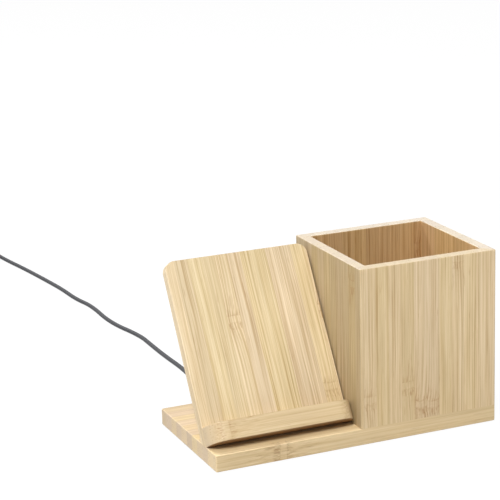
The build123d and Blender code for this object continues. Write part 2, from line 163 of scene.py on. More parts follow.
class Lay(Enum):
    """How a board's strips lie: the directions across a strip, through the board and along the grain."""

    UPRIGHT_ACROSS_X = ((1, 0, 0), (0, 1, 0), (0, 0, 1))
    UPRIGHT_ACROSS_Y = ((0, 1, 0), (-1, 0, 0), (0, 0, 1))
    FLAT_ALONG_X = ((0, 1, 0), (0, 0, 1), (1, 0, 0))


@dataclass(frozen=True)
class Strip:
    """One glued strip of a board.

    tone goes from -1, dark, to 1, pale, and warmth from -1, straw green, to 1, pink. knuckle is the place in
    millimetres along the grain where the cane's node crosses the strip, and strength how dark it is.
    """

    tone: float = 0.0
    warmth: float = 0.0
    knuckle: float | None = None
    strength: float = 0.5


@dataclass(frozen=True)
class StripPlace:
    """Nodes that say which strip of a board a point is in, and where in that strip."""

    tone: bpy.types.NodeSocket
    warmth: bpy.types.NodeSocket
    knuckle: bpy.types.NodeSocket  # from 0 to 1 along the board and its margins
    strength: bpy.types.NodeSocket
    side: bpy.types.Node  # from 0 to 1 across the strip
    middle: bpy.types.Node  # the same, from -0.5 to 0.5
    lot: bpy.types.Node  # the strip's own number, which sets its noises apart


# A knuckle along the grain: the place, then how strong its lines, its flecks, its pull on the fibres and
# their dark teeth are there
KNUCKLE_PROFILE: list[tuple[float, Colour]] = [
    (0.00, (0.00, 0.0, 0.0, 0.0)),
    (0.20, (0.10, 0.6, 0.3, 0.0)),
    (0.36, (0.34, 1.0, 0.7, 0.0)),
    (0.385, (0.38, 1.0, 0.9, 0.9)),
    (0.445, (0.42, 0.8, 1.0, 1.0)),
    (0.456, (1.00, 0.6, 1.0, 0.0)),
    (0.470, (0.36, 0.4, 1.0, 0.0)),
    (0.535, (0.32, 0.4, 1.0, 0.0)),
    (0.546, (0.90, 0.6, 1.0, 0.8)),
    (0.558, (0.28, 0.8, 0.9, 1.0)),
    (0.600, (0.20, 0.8, 0.7, 0.5)),
    (0.640, (0.14, 0.8, 0.5, 0.0)),
    (0.80, (0.04, 0.4, 0.2, 0.0)),
    (1.00, (0.00, 0.0, 0.0, 0.0)),
]


@dataclass(frozen=True)
class Bamboo(Finish):
    """Side-pressed bamboo under a matt lacquer.

    Strips of cane 7.4 mm wide are glued edge to edge, planed and sanded. Long faces show fine fibres that
    keep to their strip, and a node of the cane as two thin arcs with brown flecks. Sawn ends are paler, with
    dots. Sizes of patterns are a width and a length along the grain, in millimetres.
    """

    name: str
    lay: Lay
    strips: tuple[Strip, ...]
    origin: Point  # in millimetres, where the board's own coordinates start
    first_edge: float  # millimetres across the board, from its origin, where the first strip ends
    lean: float = 0.0  # degrees that the board leans back
    seed: float = 0.0
    lot_step: float = 3.7  # how far apart the noises of two neighbouring strips lie
    strip_width: float = 7.4
    streaks: float = 0.82  # how much the fibres differ
    fibre_reach: float = 0.17  # how far their noise strays from its middle to the darkest and palest ones
    blends: float = 1.0  # how much the strips differ
    fibre_size: Pair = (1.4, 85.0)  # a real bundle is 0.4 mm wide, too fine to show from a step away
    line_size: Pair = (0.58, 85.0)  # fine lines between the bundles, drawn half as wide again as real ones
    line_depth: float = 0.5  # how much they add to the fibres' contrast
    fleck_size: Pair = (0.75, 12.0)
    fleck_start: Pair = (0.64, 0.54)  # noise above which a fleck shows, in plain cane and beside a knuckle
    fleck_edge: float = 0.09
    fleck_depth: float = 0.34  # how near a fleck comes to the knuckle's brown
    tooth_size: Pair = (0.9, 4.5)  # beside a knuckle the fibres end in short dark teeth
    tooth_depth: float = 0.6
    cloud_size: Pair = (5.0, 45.45)  # slow changes of tone
    cloud_depth: float = 0.045  # how much paler or darker they make the cane
    drift_size: Pair = (8.333, 50.0)  # slow bends of the fibres
    drift_reach: Pair = (1.6, 4.0)  # how far these go in plain cane and beside a knuckle
    ragged_size: float = 1.25  # the frayed outline of a knuckle
    bundle_pitch: float = 0.9  # dots in a sawn end, where real ones are 0.5 mm apart, too fine to show
    dot_radius: Pair = (0.22, 0.42)  # shares of that pitch at the two sides of a strip
    dot_depth: float = 0.5
    glue_reach: float = 0.16  # how far the glue line reaches into each strip
    glue_depth: float = 0.22  # how near it comes to the cane's dark tone
    fibre_height: float = 0.06  # how far sanding leaves the fibres proud, drawn three times as high
    sheen: Pair = (0.62, 0.48)  # roughness of the darkest and of the palest fibres
    knuckle_reach: float = 22.0  # millimetres of cane on either side that a knuckle changes
    knuckle_bow: Pair = (-2.0, 7.0)  # least and most that the knuckle's arc bows in a strip
    line_breaks: Pair = (0.2, 0.75)  # strength of its lines where they are broken and where they are whole
    grain_length: float = 180.0  # places of knuckles are stored as shares of this and a margin at both ends
    margin: float = 80.0  # a strip with no knuckle on the board has it this far off
    tones: Pair = (0.88, 1.12)  # brightness of the darkest and of the palest strip
    hues: Pair = (0.509, 0.488)  # turn of the greenest and of the pinkest strip's hue, 0.5 for none
    purities: Pair = (1.12, 0.86)  # saturation of the same two
    pale: str = "#DAC5A0"
    plain: str = "#CBB48B"
    dark: str = "#B29567"
    knuckle_brown: str = "#9A6E3A"
    sawn: str = "#CDB793"
    sawn_dot: str = "#B2936A"
    painted_edge_light_tint: str = "#FFFFFF"  # painted light and shade on the board's long edges: a tint that makes them paler or darker
    painted_edge_light_lift: float = 1.0  # how much the painted light brightens the long edges
    painted_under_shade: str = "#FFFFFF"  # painted shade on the board's lower face: a tint that darkens it
    painted_inside_shade: str = "#FFFFFF"  # painted shade on the faces that look into the cup: a tint that darkens them
    inside_depth: float = 6.1  # millimetres from the board's outer face to just short of its inner one

    def rotation(self) -> Matrix:
        """Turn from the board's own axes to the frame's."""
        axes = Matrix(self.lay.value).transposed()
        return Matrix.Rotation(math.radians(-self.lean), 3, "X") @ axes

    def place(self, tree: bpy.types.NodeTree) -> bpy.types.Node:
        """Add the board's own coordinates.

        Args:
            tree: the material's node tree.

        Returns:
            A node that gives millimetres across, through and along the grain.
        """
        coordinates = add_node(tree, "TexCoord")
        return add_node(tree, "Mapping", {
            "Vector": coordinates.outputs["Object"],
            "Location": [value * MM for value in self.origin],
            "Rotation": self.rotation().to_euler(),
            "Scale": (MM, MM, MM),
        }, vector_type="TEXTURE")

    def strip_colours(self) -> list[tuple[float, Colour]]:
        """Write each strip's tone, warmth and knuckle as the colour of one ramp stop.

        Returns:
            The stops, one for each strip, in order across the board.
        """
        # A colour holds 0 to 1, so tone and warmth are kept as quarters on either side of its middle
        stops = []
        for index, strip in enumerate(self.strips):
            tone, warmth = [0.5 + self.blends * fact / 4 for fact in (strip.tone, strip.warmth)]
            knuckle = 0.0
            if strip.knuckle is not None:
                knuckle = (strip.knuckle + self.margin) / (self.grain_length + 2 * self.margin)
            stops.append((index / len(self.strips), (tone, warmth, knuckle, strip.strength)))
        return stops

    def strip_place(self, tree: bpy.types.NodeTree, across: bpy.types.NodeSocket) -> StripPlace:
        """Find the strip that a point is in.

        Args:
            tree: the material's node tree.
            across: millimetres across the board.

        Returns:
            The strip's facts and the place in it.
        """
        counted = add_node(tree, "MapRange", {
            "Value": across, "From Min": self.first_edge - self.strip_width,
            "From Max": self.first_edge, "To Max": 1.0,
        }, clamp=False)
        share = add_node(tree, "Math", {0: counted, 1: 1 / len(self.strips)}, operation="MULTIPLY")
        strip = add_node(tree, "ValToRGB", {"Fac": share}, self.strip_colours())
        strip.color_ramp.interpolation = "CONSTANT"
        facts = add_node(tree, "SeparateColor", {"Color": strip})
        number = add_node(tree, "Math", {0: counted}, operation="FLOOR")
        side = add_node(tree, "Math", {0: counted}, operation="FRACT")
        middle = add_node(tree, "Math", {0: side, 1: 0.5}, operation="SUBTRACT")
        lot = add_node(tree, "Math", {0: number, 1: self.lot_step, 2: self.seed}, operation="MULTIPLY_ADD")
        return StripPlace(facts.outputs["Red"], facts.outputs["Green"], facts.outputs["Blue"],
                          strip.outputs["Alpha"], side, middle, lot)

    def grain(self, tree: bpy.types.NodeTree, place: bpy.types.Node, strip: StripPlace, size: Pair,
              detail: float, roughness: float = 0.5) -> bpy.types.Node:
        """Add a noise stretched along the grain, different in each strip.

        Args:
            tree: the material's node tree.
            place: millimetres across, through and along the grain.
            strip: the strip that the point is in.
            size: width and length of its features.
            detail: how many finer layers it has.
            roughness: how strong each of these is beside the one before.

        Returns:
            The noise.
        """
        width, length = size
        scaled = add_node(tree, "VectorMath", {
            0: place, 1: (1 / width, 1 / width, 1 / length),
        }, operation="MULTIPLY")
        return add_node(tree, "TexNoise", {
            "Vector": scaled, "W": strip.lot, "Scale": 1.0, "Detail": detail, "Roughness": roughness,
        }, noise_dimensions="4D")

    def knuckle_profile(self, tree: bpy.types.NodeTree, along: bpy.types.NodeSocket, strip: StripPlace,
                        ragged: bpy.types.NodeSocket) -> bpy.types.Node:
        """Find how the strip's knuckle marks a point, by its distance from an arc bowed across the strip.

        Args:
            tree: the material's node tree.
            along: millimetres along the grain.
            strip: the strip that the point is in.
            ragged: a noise that frays the arc.

        Returns:
            A ramp with the knuckle's profile.
        """
        knuckle = add_node(tree, "MapRange", {
            "Value": strip.knuckle, "To Min": -self.margin, "To Max": self.grain_length + self.margin,
        })
        chance = add_node(tree, "TexWhiteNoise", {"W": strip.lot}, noise_dimensions="1D")
        swing = add_node(tree, "MapRange", {
            "Value": chance.outputs["Value"],
            "To Min": self.knuckle_bow[0], "To Max": self.knuckle_bow[1],
        })
        bow = add_node(tree, "Math", {0: strip.middle, 1: strip.middle}, operation="MULTIPLY")
        bowed = add_node(tree, "Math", {0: bow, 1: swing, 2: ragged}, operation="MULTIPLY_ADD")
        from_knuckle = add_node(tree, "Math", {0: along, 1: knuckle}, operation="SUBTRACT")
        from_arc = add_node(tree, "Math", {0: from_knuckle, 1: bowed}, operation="SUBTRACT")
        profile_place = add_node(tree, "MapRange", {
            "Value": from_arc, "From Min": -self.knuckle_reach, "From Max": self.knuckle_reach,
        })
        return add_node(tree, "ValToRGB", {"Fac": profile_place}, KNUCKLE_PROFILE)

    def bent_place(self, tree: bpy.types.NodeTree, place: bpy.types.Node, strip: StripPlace,
                   pull: bpy.types.NodeSocket) -> bpy.types.Node:
        """Let the fibres wander a little, more beside a knuckle.

        Args:
            tree: the material's node tree.
            place: millimetres across, through and along the grain.
            strip: the strip that the point is in.
            pull: 1 where a knuckle bends the fibres most.

        Returns:
            The place in the unbent grain.
        """
        drift = self.grain(tree, place, strip, self.drift_size, 1.0)
        reach = add_node(tree, "MapRange", {
            "Value": pull, "To Min": self.drift_reach[0], "To Max": self.drift_reach[1],
        })
        wander = add_node(tree, "Math", {0: drift, 1: reach}, operation="MULTIPLY")
        shift = add_node(tree, "CombineXYZ", {"X": wander})
        return add_node(tree, "VectorMath", {0: place, 1: shift}, operation="ADD")

    def fibres(self, tree: bpy.types.NodeTree, bent: bpy.types.Node, strip: StripPlace) -> bpy.types.Node:
        """Add bundles of fibres with fine lines between them.

        Args:
            tree: the material's node tree.
            bent: the place in the unbent grain.
            strip: the strip that the point is in.

        Returns:
            A node that goes from about 0, dark, to about 1, pale.
        """
        bundles = self.grain(tree, bent, strip, self.fibre_size, 4.0, 0.76)
        lines = self.grain(tree, bent, strip, self.line_size, 0.0)
        lined = add_node(tree, "MapRange", {
            "Value": lines, "To Min": -self.line_depth / 2, "To Max": self.line_depth / 2,
        })
        return add_node(tree, "Math", {0: bundles, 1: lined}, operation="ADD")

    def stains(self, tree: bpy.types.NodeTree, bent: bpy.types.Node, strip: StripPlace,
               profile: bpy.types.Node, ragged: bpy.types.NodeSocket) -> bpy.types.Node:
        """Add brown marks: a few flecks everywhere, and many with the lines and teeth of a knuckle.

        Args:
            tree: the material's node tree.
            bent: the place in the unbent grain.
            strip: the strip that the point is in.
            profile: the knuckle's profile.
            ragged: a noise that breaks the knuckle's lines.

        Returns:
            A node that gives how brown the point is.
        """
        marks = add_node(tree, "SeparateColor", {"Color": profile})
        flecks = self.grain(tree, bent, strip, self.fleck_size, 2.0)
        threshold = add_node(tree, "MapRange", {
            "Value": marks.outputs["Green"],
            "To Min": self.fleck_start[0], "To Max": self.fleck_start[1],
        })
        over = add_node(tree, "Math", {0: flecks, 1: threshold}, operation="SUBTRACT")
        flecked = add_node(tree, "MapRange", {
            "Value": over, "From Max": self.fleck_edge, "To Max": self.fleck_depth,
        })
        broken = add_node(tree, "MapRange", {
            "Value": ragged, "From Min": 0.35, "From Max": 0.62,
            "To Min": self.line_breaks[0], "To Max": self.line_breaks[1],
        })
        lines = add_node(tree, "Math", {0: marks.outputs["Red"], 1: broken}, operation="MULTIPLY")
        tooth = self.grain(tree, bent, strip, self.tooth_size, 1.0)
        teeth = add_node(tree, "MapRange", {
            "Value": tooth, "From Min": 0.49, "From Max": 0.56, "To Max": self.tooth_depth,
        })
        marked = add_node(tree, "Math", {
            0: teeth, 1: profile.outputs["Alpha"], 2: lines,
        }, operation="MULTIPLY_ADD")
        return add_node(tree, "Math", {
            0: marked, 1: strip.strength, 2: flecked,
        }, operation="MULTIPLY_ADD", use_clamp=True)

    def sawn_end(self, tree: bpy.types.NodeTree, place: bpy.types.Node, side: bpy.types.Node,
                 tint: Mapping[str, bpy.types.Node]) -> bpy.types.Node:
        """Show the bundles of a sawn end as dots, closer together towards one side of a strip.

        Args:
            tree: the material's node tree.
            place: millimetres across, through and along the grain.
            side: how far across its strip the point is.
            tint: hue, saturation and value of the strip.

        Returns:
            The end's colour.
        """
        dot_place = add_node(tree, "VectorMath", {
            0: place, 1: (1 / self.bundle_pitch, 1 / self.bundle_pitch, 0.0),
        }, operation="MULTIPLY")
        dots = add_node(tree, "TexVoronoi", {"Vector": dot_place, "Scale": 1.0}, feature="F1")
        radius = add_node(tree, "MapRange", {
            "Value": side, "To Min": self.dot_radius[0], "To Max": self.dot_radius[1],
        })
        dot = add_node(tree, "Math", {0: radius, 1: dots.outputs["Distance"]}, operation="SUBTRACT")
        dotted = add_node(tree, "MapRange", {"Value": dot, "From Max": 0.15, "To Max": self.dot_depth})
        ground = add_node(tree, "HueSaturation", {**tint, "Color": linear(self.sawn)})
        return add_node(tree, "Mix", {
            "Factor": dotted, MIX_A: ground, MIX_B: linear(self.sawn_dot),
        }, data_type="RGBA")

    def facing(self, tree: bpy.types.NodeTree, axis: Vector, start: float, full: float,
               both_ways: bool = True) -> bpy.types.Node:
        """Find how squarely a face looks along an axis.

        Args:
            tree: the material's node tree.
            axis: the direction.
            start: cosine at which the result leaves 0.
            full: cosine at which it reaches 1.
            both_ways: whether the opposite direction counts too.

        Returns:
            The node with the result.
        """
        normal = add_node(tree, "TexCoord").outputs["Normal"]
        towards = add_node(tree, "VectorMath", {0: normal, 1: axis}, operation="DOT_PRODUCT")
        towards = towards.outputs["Value"]
        if both_ways:
            towards = add_node(tree, "Math", {0: towards}, operation="ABSOLUTE")
        return add_node(tree, "MapRange", {"Value": towards, "From Min": start, "From Max": full})

    def shader(self, tree: bpy.types.NodeTree) -> bpy.types.Node:
        """Add the board's nodes.

        Args:
            tree: the material's node tree.

        Returns:
            The surface shader.
        """
        place = self.place(tree)
        apart = add_node(tree, "SeparateXYZ", {"Vector": place})
        strip = self.strip_place(tree, apart.outputs["X"])
        ragged = add_node(tree, "TexNoise", {
            "Vector": place, "W": strip.lot, "Scale": 1 / self.ragged_size, "Detail": 2.0,
        }, noise_dimensions="4D").outputs["Fac"]
        profile = self.knuckle_profile(tree, apart.outputs["Z"], strip, ragged)
        marks = add_node(tree, "SeparateColor", {"Color": profile})
        bent = self.bent_place(tree, place, strip, marks.outputs["Blue"])
        fibres = self.fibres(tree, bent, strip)
        fibre_colour = add_node(tree, "ValToRGB", {"Fac": fibres}, [
            (0.5 - self.fibre_reach / self.streaks, linear(self.dark)),
            (0.5, linear(self.plain)),
            (0.5 + self.fibre_reach / self.streaks, linear(self.pale)),
        ])

        # Each strip has its own tone and warmth, and changes slowly along the cane
        hue, purity, level = [
            add_node(tree, "MapRange", {"Value": fact, "To Min": ends[0], "To Max": ends[1]})
            for fact, ends in ((strip.warmth, self.hues), (strip.warmth, self.purities),
                               (strip.tone, self.tones))
        ]
        clouds = self.grain(tree, bent, strip, self.cloud_size, 2.0)
        slow = add_node(tree, "MapRange", {
            "Value": clouds, "From Min": 0.3, "From Max": 0.7,
            "To Min": -self.cloud_depth, "To Max": self.cloud_depth,
        })
        value = add_node(tree, "Math", {0: level, 1: slow}, operation="ADD")
        toned = add_node(tree, "HueSaturation", {
            "Hue": hue, "Saturation": purity, "Value": value, "Color": fibre_colour,
        })
        marked = add_node(tree, "Mix", {
            "Factor": self.stains(tree, bent, strip, profile, ragged),
            MIX_A: toned, MIX_B: linear(self.knuckle_brown),
        }, data_type="RGBA")

        # Thin glue line between strips
        off_line = add_node(tree, "Math", {0: strip.middle}, operation="ABSOLUTE")
        glue = add_node(tree, "MapRange", {
            "Value": off_line, "From Min": 0.5 - self.glue_reach / self.strip_width, "From Max": 0.5,
            "To Max": self.glue_depth,
        })
        long_face = add_node(tree, "Mix", {
            "Factor": glue, MIX_A: marked, MIX_B: linear(self.dark),
        }, data_type="RGBA")

        # Sawn ends differ from the long faces. Long edges get painted light and shade, and lower faces and
        # faces inside the cup get painted shade
        across_axis, through_axis, grain_axis = self.rotation().transposed()
        # Painted light and shade: the long edges are tinted paler or darker than the long faces
        long_face = add_node(tree, "Mix", {
            "Factor": self.facing(tree, across_axis, 0.6, 0.9),
            MIX_A: long_face, MIX_B: lit(self.painted_edge_light_tint, self.painted_edge_light_lift),
        }, data_type="RGBA", blend_type="MULTIPLY")
        sawn_end = self.sawn_end(tree, place, strip.side, {
            "Hue": hue, "Saturation": purity, "Value": level,
        })
        colour = add_node(tree, "Mix", {
            "Factor": self.facing(tree, grain_axis, 0.55, 0.85), MIX_A: long_face, MIX_B: sawn_end,
        }, data_type="RGBA")
        # Painted shade: the lower face and the faces inside the cup are darkened
        under = self.facing(tree, -through_axis, 0.5, 0.9, both_ways=False)
        depth = add_node(tree, "Math", {0: apart.outputs["Y"]}, operation="ABSOLUTE")
        inside = add_node(tree, "MapRange", {
            "Value": depth, "From Min": self.inside_depth, "From Max": self.inside_depth + 0.05,
        })
        for share, tone in ((under, self.painted_under_shade), (inside, self.painted_inside_shade)):
            colour = add_node(tree, "Mix", {
                "Factor": share, MIX_A: colour, MIX_B: linear(tone),
            }, data_type="RGBA", blend_type="MULTIPLY")

        # Sanding leaves the fibres proud, and the lacquer dulls the sheen
        bump = add_node(tree, "Bump", {
            "Strength": 0.35, "Distance": self.fibre_height * MM, "Height": fibres,
        })
        roughness = add_node(tree, "MapRange", {
            "Value": fibres, "To Min": self.sheen[0], "To Max": self.sheen[1],
        })
        return add_node(tree, "BsdfPrincipled", {
            "Base Color": colour, "Roughness": roughness, "Normal": bump, "IOR": 1.5,
        })


@dataclass(frozen=True)
class TurnedBeech(Finish):
    """Beech rod turned along its grain, which shows as short dark rays on a pinkish ground."""

    name: str
    lean: float  # degrees that the rod's far end dips
    ground: str = "#DDBB93"
    ray: str = "#AF8158"
    ray_width: float = 0.45  # real rays are 0.1 mm wide, too fine to show
    ray_length: float = 3.5
    ray_depth: float = 0.03

    def shader(self, tree: bpy.types.NodeTree) -> bpy.types.Node:
        """Add the rod's nodes.

        Args:
            tree: the material's node tree.

        Returns:
            The surface shader.
        """
        place = add_node(tree, "Mapping", {
            "Vector": add_node(tree, "TexCoord").outputs["Object"],
            "Rotation": (math.radians(-self.lean), 0.0, 0.0),
            "Scale": (self.ray_width * MM, self.ray_length * MM, self.ray_width * MM),
        }, vector_type="TEXTURE")
        rays = add_node(tree, "TexNoise", {"Vector": place, "Scale": 1.0, "Detail": 2.0})
        rayed = add_node(tree, "MapRange", {"Value": rays, "From Min": 0.52, "From Max": 0.66})
        colour = add_node(tree, "Mix", {
            "Factor": rayed, MIX_A: linear(self.ground), MIX_B: linear(self.ray),
        }, data_type="RGBA")
        roughness = add_node(tree, "MapRange", {"Value": rays, "To Min": 0.62, "To Max": 0.5})
        bump = add_node(tree, "Bump", {"Strength": 0.3, "Distance": self.ray_depth * MM, "Height": rays})
        return add_node(tree, "BsdfPrincipled", {
            "Base Color": colour, "Roughness": roughness, "Normal": bump,
        })


@dataclass(frozen=True)
class MouldedPlastic(Finish):
    """Plastic or rubber from a mould whose walls were etched to a fine grain, which blurs the highlights."""

    name: str
    colour: str
    roughness: float = 0.5
    ior: float = 1.5
    grain: float = 0.35  # millimetres between the peaks of the mould's grain
    grain_depth: float = 0.02
    sheen_spread: float = 0.07  # how much rougher or smoother its peaks and hollows are
    flow: float = 9.0  # millimetres between the slow changes of tone that the melt's flow leaves
    flow_tone: float = 0.86  # share of the light that its darker places send back

    def shader(self, tree: bpy.types.NodeTree) -> bpy.types.Node:
        """Add the plastic's nodes.

        Args:
            tree: the material's node tree.

        Returns:
            The surface shader.
        """
        place = add_node(tree, "TexCoord").outputs["Object"]
        grain = add_node(tree, "TexNoise", {
            "Vector": place, "Scale": 1 / (self.grain * MM), "Detail": 2.0,
        })
        flow = add_node(tree, "TexNoise", {
            "Vector": place, "Scale": 1 / (self.flow * MM), "Detail": 3.0,
        })
        colour = add_node(tree, "Mix", {
            "Factor": flow, MIX_A: linear(self.colour), MIX_B: lit(self.colour, self.flow_tone),
        }, data_type="RGBA")
        roughness = add_node(tree, "MapRange", {
            "Value": grain,
            "To Min": self.roughness - self.sheen_spread, "To Max": self.roughness + self.sheen_spread,
        })
        bump = add_node(tree, "Bump", {
            "Strength": 0.6, "Distance": self.grain_depth * MM, "Height": grain,
        })
        return add_node(tree, "BsdfPrincipled", {
            "Base Color": colour, "Roughness": roughness, "Normal": bump, "IOR": self.ior,
        })


@dataclass(frozen=True)
class PlatedMetal(Finish):
    """Metal with a thin plated skin, whose drawn sheet leaves faint lines along one direction."""

    name: str
    colour: str
    roughness: float = 0.3
    line_width: float = 0.12
    line_length: float = 4.0
    line_depth: float = 0.004
    line_tone: float = 0.8  # share of the light that the lines send back

    def shader(self, tree: bpy.types.NodeTree) -> bpy.types.Node:
        """Add the metal's nodes.

        Args:
            tree: the material's node tree.

        Returns:
            The surface shader.
        """
        place = add_node(tree, "TexCoord").outputs["Object"]
        fine, long = 1 / (self.line_width * MM), 1 / (self.line_length * MM)
        stretched = add_node(tree, "VectorMath", {0: place, 1: (fine, long, fine)}, operation="MULTIPLY")
        lines = add_node(tree, "TexNoise", {"Vector": stretched, "Scale": 1.0, "Detail": 2.0})
        colour = add_node(tree, "Mix", {
            "Factor": lines, MIX_A: linear(self.colour), MIX_B: lit(self.colour, self.line_tone),
        }, data_type="RGBA")
        roughness = add_node(tree, "MapRange", {
            "Value": lines, "To Min": self.roughness - 0.08, "To Max": self.roughness + 0.1,
        })
        bump = add_node(tree, "Bump", {"Strength": 0.3, "Distance": self.line_depth * MM, "Height": lines})
        return add_node(tree, "BsdfPrincipled", {
            "Base Color": colour, "Metallic": 1.0, "Roughness": roughness, "Normal": bump,
        })


@dataclass(frozen=True)
class PrintedCircuit(Finish):
    """Glass laminate with etched copper under a green solder mask.

    Tracks show as paler, slightly raised lines under the mask, plated holes as bright rings, and the routed
    edge shows the bare straw-coloured laminate.
    """

    name: str
    mask: str = "#184A31"
    over_copper: str = "#2E7A4E"
    laminate: str = "#B7AF7C"
    tin: str = "#C6C8C6"
    track_pitch: float = 1.1  # real tracks are 0.3 mm apart, too fine to show
    field: float = 5.5  # millimetres between the places where tracks turn
    hole_pitch: float = 4.2
    copper_height: float = 0.035

    def shader(self, tree: bpy.types.NodeTree) -> bpy.types.Node:
        """Add the board's nodes.

        Args:
            tree: the material's node tree.

        Returns:
            The surface shader.
        """
        coordinates = add_node(tree, "TexCoord")
        place = add_node(tree, "VectorMath", {
            0: coordinates.outputs["Object"], 1: (1 / MM, 1 / MM, 0.0),
        }, operation="MULTIPLY")
        apart = add_node(tree, "SeparateXYZ", {"Vector": place})

        # Tracks run along X in some fields of the board and along Y in the others
        field = add_node(tree, "VectorMath", {0: place, "Scale": 1 / self.field}, operation="SCALE")
        corner = add_node(tree, "VectorMath", {0: field}, operation="FLOOR")
        lot = add_node(tree, "TexWhiteNoise", {"Vector": corner}, noise_dimensions="2D")
        turned = add_node(tree, "Math", {0: lot.outputs["Value"], 1: 0.5}, operation="GREATER_THAN")
        across = add_node(tree, "Mix", {
            "Factor": turned, 2: apart.outputs["X"], 3: apart.outputs["Y"],
        }, data_type="FLOAT")
        lanes = add_node(tree, "Math", {0: across, 1: 1 / self.track_pitch}, operation="MULTIPLY")
        lane = add_node(tree, "Math", {0: lanes}, operation="FRACT")
        off_lane = add_node(tree, "Math", {0: lane, 1: 0.5}, operation="SUBTRACT")
        off_lane = add_node(tree, "Math", {0: off_lane}, operation="ABSOLUTE")
        track = add_node(tree, "MapRange", {
            "Value": off_lane, "From Min": 0.24, "From Max": 0.2, "To Max": 1.0,
        })

        # Plated holes where tracks change sides
        holes = add_node(tree, "TexVoronoi", {
            "Vector": place, "Scale": 1 / self.hole_pitch, "Randomness": 0.7,
        }, feature="F1", voronoi_dimensions="2D")
        ring = add_node(tree, "MapRange", {
            "Value": holes.outputs["Distance"], "From Min": 0.13, "From Max": 0.12,
        })
        bore = add_node(tree, "MapRange", {
            "Value": holes.outputs["Distance"], "From Min": 0.06, "From Max": 0.05,
            "To Min": 1.0, "To Max": 0.08,
        })
        # The black in the middle of each plated hole is painted shade down the bore
        tin = add_node(tree, "Mix", {
            "Factor": bore, MIX_A: (0.0, 0.0, 0.0, 1.0), MIX_B: linear(self.tin),
        }, data_type="RGBA")

        masked = add_node(tree, "Mix", {
            "Factor": track, MIX_A: linear(self.mask), MIX_B: linear(self.over_copper),
        }, data_type="RGBA")
        face = add_node(tree, "Mix", {"Factor": ring, MIX_A: masked, MIX_B: tin}, data_type="RGBA")
        upright = add_node(tree, "VectorMath", {
            0: coordinates.outputs["Normal"], 1: (0, 0, 1),
        }, operation="DOT_PRODUCT")
        upright = add_node(tree, "Math", {0: upright.outputs["Value"]}, operation="ABSOLUTE")
        flat = add_node(tree, "Math", {0: upright, 1: 0.5}, operation="GREATER_THAN")
        colour = add_node(tree, "Mix", {
            "Factor": flat, MIX_A: linear(self.laminate), MIX_B: face,
        }, data_type="RGBA")
        roughness = add_node(tree, "MapRange", {"Value": flat, "To Min": 0.8, "To Max": 0.3})
        bump = add_node(tree, "Bump", {
            "Strength": 0.5, "Distance": self.copper_height * MM, "Height": track,
        })
        return add_node(tree, "BsdfPrincipled", {
            "Base Color": colour, "Roughness": roughness, "Normal": bump, "IOR": 1.54,
        })


@dataclass(frozen=True)
class SolderedPart(Finish):
    """Body of a soldered component, with bright tinned contacts that blur what they mirror."""

    name: str
    colour: str
    roughness: float = 0.5
    tin: str = "#C9CACB"
    tin_roughness: float = 0.32
    grain: float = 0.15  # millimetres between the grains of the filler in the body
    grain_depth: float = 0.01
    grain_tone: float = 0.8  # share of the light that its darker grains send back

    def contacts(self, tree: bpy.types.NodeTree) -> bpy.types.Node:
        """Add nodes that give 1 on the contacts and 0 on the body."""
        raise NotImplementedError

    def shader(self, tree: bpy.types.NodeTree) -> bpy.types.Node:
        """Add the component's nodes.

        Args:
            tree: the material's node tree.

        Returns:
            The surface shader.
        """
        place = add_node(tree, "TexCoord").outputs["Object"]
        contacts = self.contacts(tree)
        grain = add_node(tree, "TexNoise", {
            "Vector": place, "Scale": 1 / (self.grain * MM), "Detail": 2.0,
        })
        body = add_node(tree, "Mix", {
            "Factor": grain, MIX_A: linear(self.colour), MIX_B: lit(self.colour, self.grain_tone),
        }, data_type="RGBA")
        colour = add_node(tree, "Mix", {
            "Factor": contacts, MIX_A: body, MIX_B: linear(self.tin),
        }, data_type="RGBA")
        roughness = add_node(tree, "MapRange", {
            "Value": contacts, "To Min": self.roughness, "To Max": self.tin_roughness,
        })
        bump = add_node(tree, "Bump", {
            "Strength": 0.5, "Distance": self.grain_depth * MM, "Height": grain,
        })
        return add_node(tree, "BsdfPrincipled", {
            "Base Color": colour, "Metallic": contacts, "Roughness": roughness, "Normal": bump,
        })


@dataclass(frozen=True)
class MouldedChip(SolderedPart):
    """Chip moulded in black epoxy, with its row of cut leads along the foot of each side."""

    board_face: float = 6.7  # height of the board's lower face, which the chip hangs under
    lead_height: float = 0.3
    lead_pitch: float = 0.65

    def contacts(self, tree: bpy.types.NodeTree) -> bpy.types.Node:
        """Add nodes that give 1 on the leads.

        Args:
            tree: the material's node tree.

        Returns:
            The node with that value.
        """
        place = add_node(tree, "TexCoord").outputs["Object"]
        apart = add_node(tree, "SeparateXYZ", {"Vector": place})
        foot = add_node(tree, "Math", {
            0: apart.outputs["Z"], 1: (self.board_face - self.lead_height) * MM,
        }, operation="GREATER_THAN")
        run = add_node(tree, "Math", {0: apart.outputs["X"], 1: apart.outputs["Y"]}, operation="ADD")
        leads = add_node(tree, "Math", {0: run, 1: 1 / (self.lead_pitch * MM)}, operation="MULTIPLY")
        lead = add_node(tree, "Math", {0: leads}, operation="FRACT")
        lead = add_node(tree, "Math", {0: lead, 1: 0.5}, operation="LESS_THAN")
        return add_node(tree, "Math", {0: foot, 1: lead}, operation="MULTIPLY")


@dataclass(frozen=True)
class DippedCeramic(SolderedPart):
    """Fired ceramic capacitors in one row, each with its two ends dipped in tin."""

    row: float = 17.55  # place along Y of the row's middle
    body_half: float = 1.05  # millimetres of bare ceramic on either side of it

    def contacts(self, tree: bpy.types.NodeTree) -> bpy.types.Node:
        """Add nodes that give 1 on the dipped ends.

        Args:
            tree: the material's node tree.

        Returns:
            The node with that value.
        """
        place = add_node(tree, "TexCoord").outputs["Object"]
        apart = add_node(tree, "SeparateXYZ", {"Vector": place})
        off_row = add_node(tree, "Math", {0: apart.outputs["Y"], 1: self.row * MM}, operation="SUBTRACT")
        off_row = add_node(tree, "Math", {0: off_row}, operation="ABSOLUTE")
        return add_node(tree, "Math", {0: off_row, 1: self.body_half * MM}, operation="GREATER_THAN")


